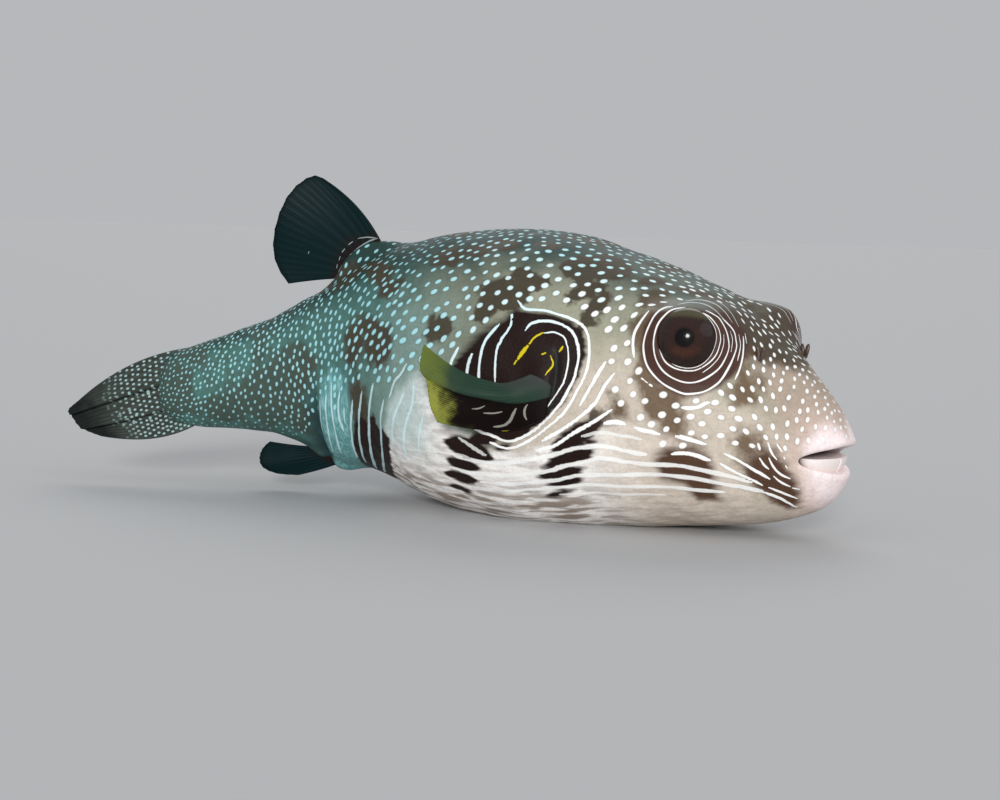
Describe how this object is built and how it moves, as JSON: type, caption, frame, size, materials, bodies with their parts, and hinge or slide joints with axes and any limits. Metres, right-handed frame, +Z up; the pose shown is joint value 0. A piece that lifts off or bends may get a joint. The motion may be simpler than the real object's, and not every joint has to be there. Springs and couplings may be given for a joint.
{
  "type": "white-spotted puffer, life-size still model",
  "caption": "Life-size still model of a white-spotted puffer resting on its belly, head and tail turned a little to its right.",
  "frame": {"origin": "on the floor under the mass centre, on the midline of the flat of the belly", "axes": "+X towards the snout, +Y to the fish's left, +Z up"},
  "size_m": [0.3195, 0.1554, 0.126],
  "materials": {
    "skin": "moist skin, olive grey above with pale spots, white below with dark lines",
    "lip": "moist pinkish white skin",
    "beak": "smooth enamel",
    "eye": "wet, clear, dark brown iris with a black pupil",
    "nose_flap": "thin dark skin",
    "fin_base": "moist dark skin",
    "pectoral_fin": "thin rayed membrane, dark with an olive yellow margin",
    "fin": "thin rayed membrane, dark olive green",
    "tail_fin": "thin pleated membrane, brown grey with small pale spots"
  },
  "bodies": {
    "root": {"upper_lip": "lip", "lower_lip": "lip", "beak_upper_left": "beak", "beak_upper_right": "beak", "beak_lower_left": "beak", "beak_lower_right": "beak", "head": "skin", "trunk": "skin", "tail_stalk": "skin", "eye_left": "eye", "eye_right": "eye", "nose_flap_left": "nose_flap", "nose_flap_right": "nose_flap", "pectoral_base_left": "fin_base", "pectoral_base_right": "fin_base", "pectoral_fin_left": "pectoral_fin", "pectoral_fin_right": "pectoral_fin", "dorsal_base": "fin_base", "dorsal_fin": "fin", "anal_base": "fin_base", "anal_fin": "fin", "caudal_fin": "tail_fin"}
  },
  "joints": []
}
